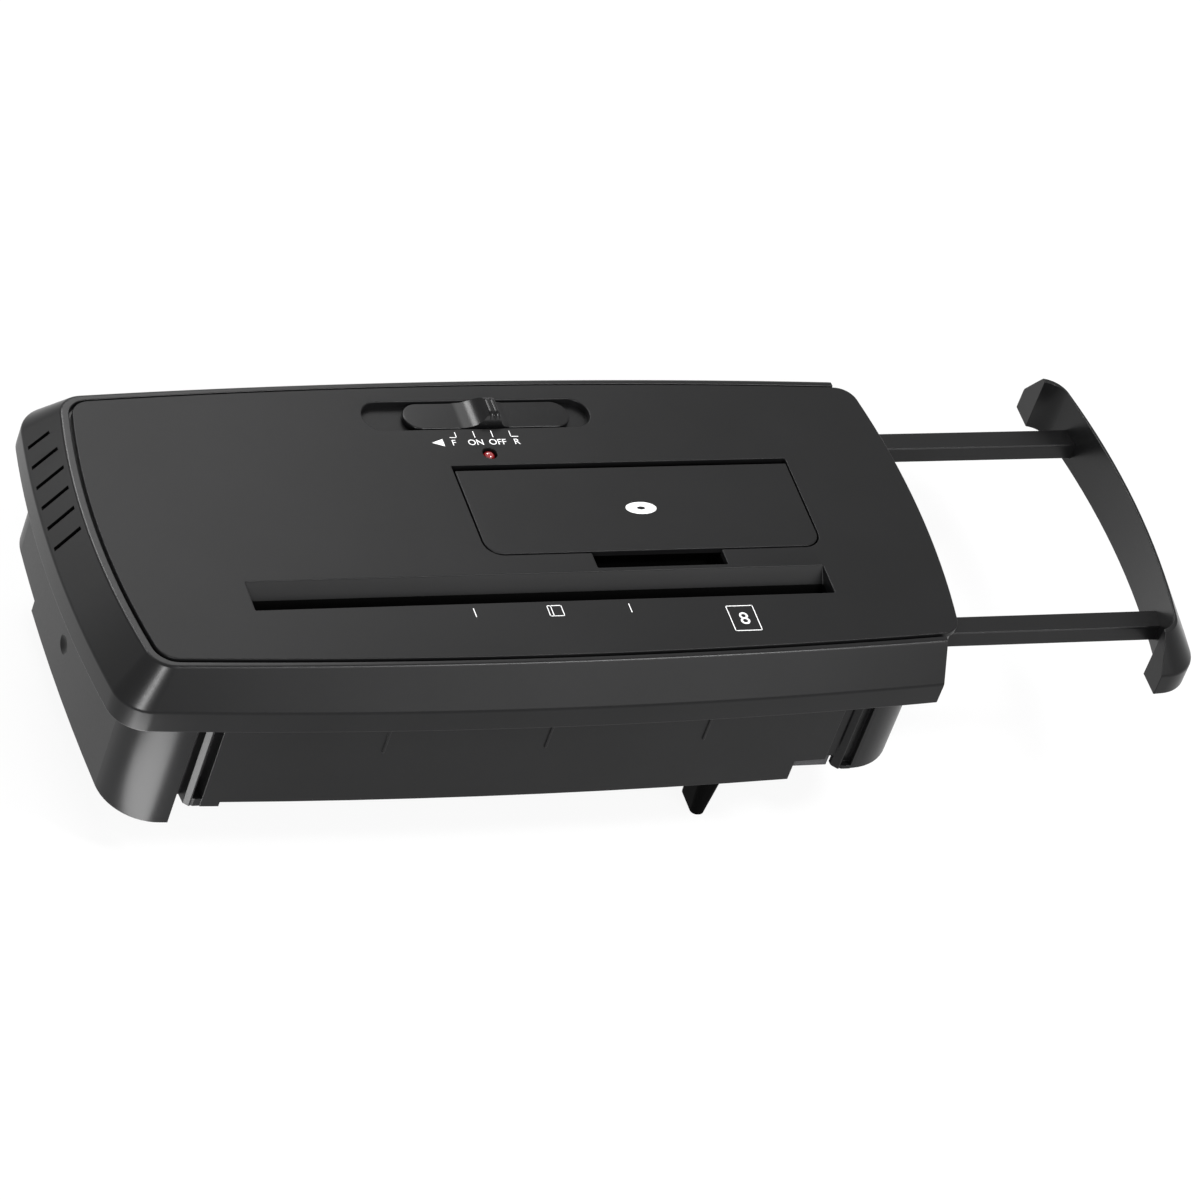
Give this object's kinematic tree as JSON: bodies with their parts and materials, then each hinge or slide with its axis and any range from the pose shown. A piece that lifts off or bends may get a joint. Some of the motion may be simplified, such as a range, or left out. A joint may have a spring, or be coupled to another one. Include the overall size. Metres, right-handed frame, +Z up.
{
  "type": "paper shredder head",
  "caption": "Bin-top paper shredder head with bowed black housing, paper slot, hinged disc flap, slide switch and a pull-out arm that spans the bin.",
  "frame": {"origin": "middle of the footprint with the arm pulled out, on the surface the legs stand on", "axes": "+X along the paper slot towards the arm, +Y to the rear, +Z up"},
  "size_m": [0.4276, 0.1598, 0.0946],
  "materials": {
    "cover_plastic": "fine satin grain",
    "panel_plastic": "fine matte grain",
    "slider_plastic": "satin",
    "casing_plastic": "satin grain",
    "inner_plastic": "matte",
    "comb_plastic": "matte",
    "gear_nylon": "natural nylon",
    "cutter_steel": "ground and oiled",
    "shaft_steel": "drawn",
    "plate_steel": "zinc plated",
    "bush_brass": "sintered",
    "screw_steel": "blackened",
    "lamp_red": "clear red",
    "board_green": "solder mask",
    "relay_plastic": "satin",
    "capacitor_sleeve": "shrink sleeve",
    "armature_steel": "varnished laminations",
    "gland_rubber": "matte"
  },
  "bodies": {
    "housing": {"upper_cover": "cover_plastic", "top_panel": "panel_plastic", "lower_casing": "casing_plastic", "right_end_cap": "casing_plastic", "bottom_cover": "inner_plastic", "paper_chute": "inner_plastic", "cd_chute": "inner_plastic", "slide_switch": "inner_plastic", "sensor_bracket": "inner_plastic", "terminal_block": "inner_plastic", "front_comb": "comb_plastic", "rear_comb": "comb_plastic", "cd_comb": "comb_plastic", "tie_bars": "shaft_steel", "gear_axles": "shaft_steel", "gear_posts": "shaft_steel", "lid_hinge_pin": "shaft_steel", "sensor_pin": "shaft_steel", "left_side_plate": "plate_steel", "right_side_plate": "plate_steel", "gear_plate": "plate_steel", "motor_can": "plate_steel", "shaft_bushes": "bush_brass", "motor_screws": "screw_steel", "cover_screws": "screw_steel", "base_screws": "screw_steel", "led_lens": "lamp_red", "control_board": "board_green", "relay": "relay_plastic", "motor_end_bell": "relay_plastic", "capacitor": "capacitor_sleeve", "cord_inlet": "gland_rubber"},
    "arm": {"arm_handle": "cover_plastic", "front_rail": "casing_plastic", "back_rail": "casing_plastic", "arm_screws": "screw_steel"},
    "lid": {"cd_lid": "panel_plastic"},
    "slider": {"mode_slider": "slider_plastic"},
    "rear_roll": {"rear_shaft": "shaft_steel", "rear_discs": "cutter_steel", "rear_sync_gear": "shaft_steel", "drive_gear": "shaft_steel"},
    "front_roll": {"front_shaft": "shaft_steel", "front_discs": "cutter_steel", "front_sync_gear": "shaft_steel"},
    "cd_roll": {"cd_shaft": "shaft_steel", "cd_discs": "cutter_steel", "cd_sync_gear": "shaft_steel"},
    "second_wheel": {"second_gear": "gear_nylon"},
    "first_wheel": {"first_gear": "gear_nylon"},
    "rotor": {"motor_shaft": "shaft_steel", "armature": "armature_steel", "motor_pinion": "shaft_steel", "cooling_fan": "gear_nylon"},
    "lever": {"sensor_lever": "inner_plastic"}
  },
  "joints": [
    {"name": "arm_slide", "type": "slide", "parent": "housing", "child": "arm", "axis": [1, 0, 0], "range_m": [-0.0876, 0]},
    {"name": "flap_hinge", "type": "hinge", "parent": "housing", "child": "lid", "pos_m": [0.0061, 0.0213, 0.0852], "axis": [-1, 0, 0], "range_deg": [0, 85]},
    {"name": "mode_slide", "type": "slide", "parent": "housing", "child": "slider", "axis": [1, 0, 0], "range_m": [-0.014, 0.007]},
    {"name": "rear_spin", "type": "hinge", "parent": "housing", "child": "rear_roll", "pos_m": [-0.0428, -0.023, 0.05], "axis": [1, 0, 0], "continuous": true},
    {"name": "front_spin", "type": "hinge", "parent": "housing", "child": "front_roll", "pos_m": [-0.0428, -0.053, 0.05], "axis": [1, 0, 0], "continuous": true},
    {"name": "cd_spin", "type": "hinge", "parent": "housing", "child": "cd_roll", "pos_m": [-0.0428, 0.007, 0.05], "axis": [1, 0, 0], "continuous": true},
    {"name": "second_spin", "type": "hinge", "parent": "housing", "child": "second_wheel", "pos_m": [-0.1828, 0.00425, 0.06157], "axis": [1, 0, 0], "continuous": true},
    {"name": "first_spin", "type": "hinge", "parent": "housing", "child": "first_wheel", "pos_m": [-0.1748, 0.02598, 0.05574], "axis": [1, 0, 0], "continuous": true},
    {"name": "motor_spin", "type": "hinge", "parent": "housing", "child": "rotor", "pos_m": [-0.1228, 0.04278, 0.04565], "axis": [1, 0, 0], "continuous": true},
    {"name": "sensor_flip", "type": "hinge", "parent": "housing", "child": "lever", "pos_m": [-0.0458, -0.047, 0.074], "axis": [-1, 0, 0], "range_deg": [0, 25], "stiffness_Nm_per_rad": 0.0004, "springref_deg": -11.46}
  ],
  "couplings": [
    {"joint": "front_spin", "follows": "rear_spin", "ratio": -1},
    {"joint": "cd_spin", "follows": "rear_spin", "ratio": -1},
    {"joint": "second_spin", "follows": "rear_spin", "ratio": -3.1111},
    {"joint": "first_spin", "follows": "rear_spin", "ratio": 12.444},
    {"joint": "motor_spin", "follows": "rear_spin", "ratio": -55.309}
  ]
}
